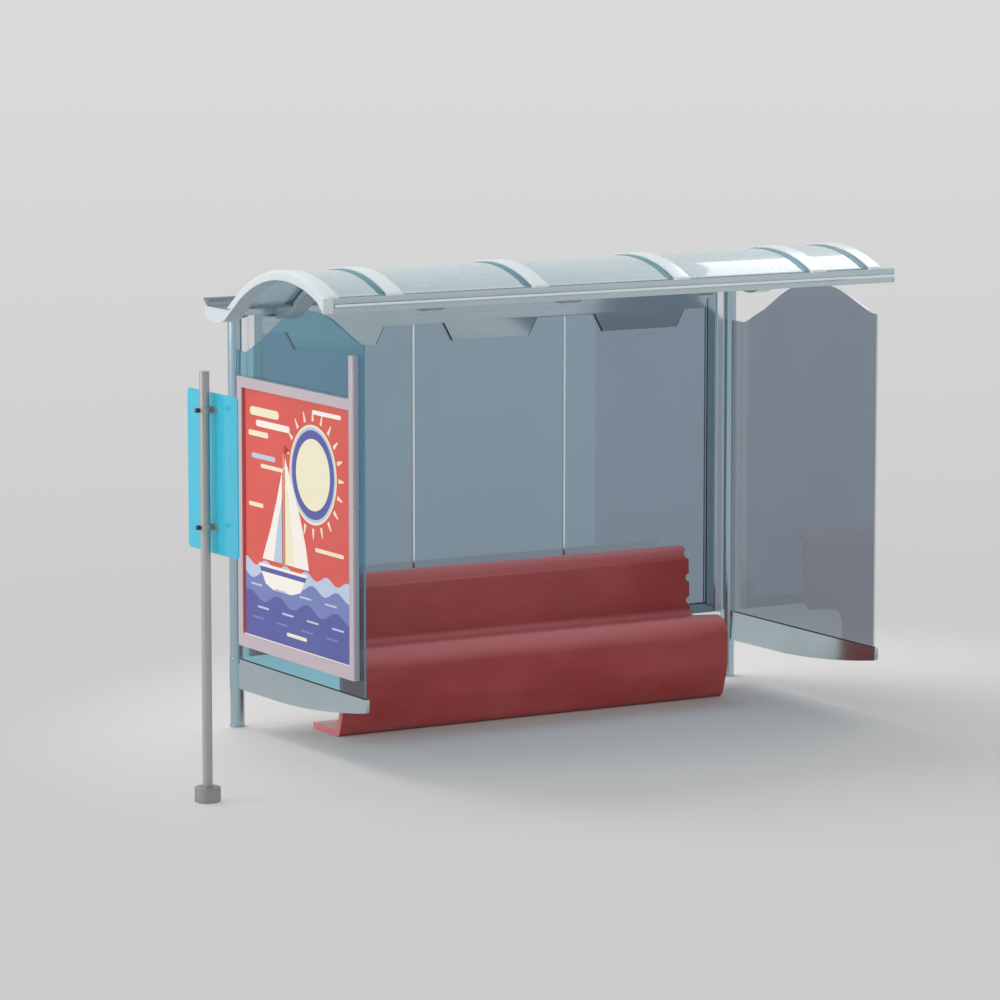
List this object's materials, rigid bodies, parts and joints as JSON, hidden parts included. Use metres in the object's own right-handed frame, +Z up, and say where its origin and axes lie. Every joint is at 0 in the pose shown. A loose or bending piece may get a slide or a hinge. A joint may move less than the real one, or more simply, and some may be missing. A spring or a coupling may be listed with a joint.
{
  "type": "bus shelter",
  "caption": "Open street bus shelter with a wavy ribbed clear roof, glazed rear wall and end screens, a poster case, a moulded bench and a separate stop sign on a pole.",
  "frame": {"origin": "on the ground, in the middle of the footprint's bounding box", "axes": "+X along the shelter towards its right end as seen from the open front, +Y towards the rear wall, +Z up"},
  "size_m": [5.1208, 2.3688, 2.911],
  "materials": {
    "post_paint": "satin",
    "roof_paint": "satin",
    "gutter_metal": "satin",
    "roof_clear": "clear pale cyan",
    "frame_paint": "satin",
    "header_grey": "satin",
    "rear_glass": "tinted",
    "blue_glass": "tinted",
    "grey_glass": "tinted",
    "rail_paint": "satin",
    "white_strip": "matt",
    "case_back": "matt",
    "case_frame": "satin",
    "poster_print": "printed",
    "bench_red": "moulded, semi-gloss",
    "sign_cyan": "clear tinted",
    "sign_foot": "grey",
    "sign_metal": "galvanised",
    "clamp_dark": "satin"
  },
  "bodies": {
    "root": {"bench": "bench_red", "case_back": "case_back", "case_rail_bottom": "case_frame", "case_rail_top": "case_frame", "case_stile_front": "case_frame", "case_stile_rear": "case_frame", "fascia_cap_left": "roof_paint", "fascia_cap_right": "roof_paint", "frame_bottom": "frame_paint", "frame_left": "frame_paint", "frame_right": "frame_paint", "frame_top": "frame_paint", "front_fascia": "roof_paint", "header_panel": "header_grey", "joint_strip_left": "white_strip", "joint_strip_right": "white_strip", "post_left": "post_paint", "post_right": "post_paint", "post_sleeve_left": "post_paint", "post_sleeve_right": "post_paint", "poster_sheet": "poster_print", "rear_beam": "roof_paint", "rear_glass_left": "rear_glass", "rear_glass_middle": "rear_glass", "rear_glass_right": "rear_glass", "rear_gutter": "gutter_metal", "roof_rib_1": "roof_paint", "roof_rib_2": "roof_paint", "roof_rib_3": "roof_paint", "roof_rib_4": "roof_paint", "roof_rib_5": "roof_paint", "roof_rib_6": "roof_paint", "roof_sheet_1": "roof_clear", "roof_sheet_2": "roof_clear", "roof_sheet_3": "roof_clear", "roof_sheet_4": "roof_clear", "roof_sheet_5": "roof_clear", "side_glass_left": "blue_glass", "side_glass_right": "grey_glass", "side_rail_left": "rail_paint", "side_rail_right": "rail_paint", "sign_board": "sign_cyan", "sign_clamp_lower": "clamp_dark", "sign_clamp_upper": "clamp_dark", "sign_foot": "sign_foot", "sign_pole": "sign_metal", "upright_left": "roof_paint", "upright_right": "roof_paint"}
  },
  "joints": []
}
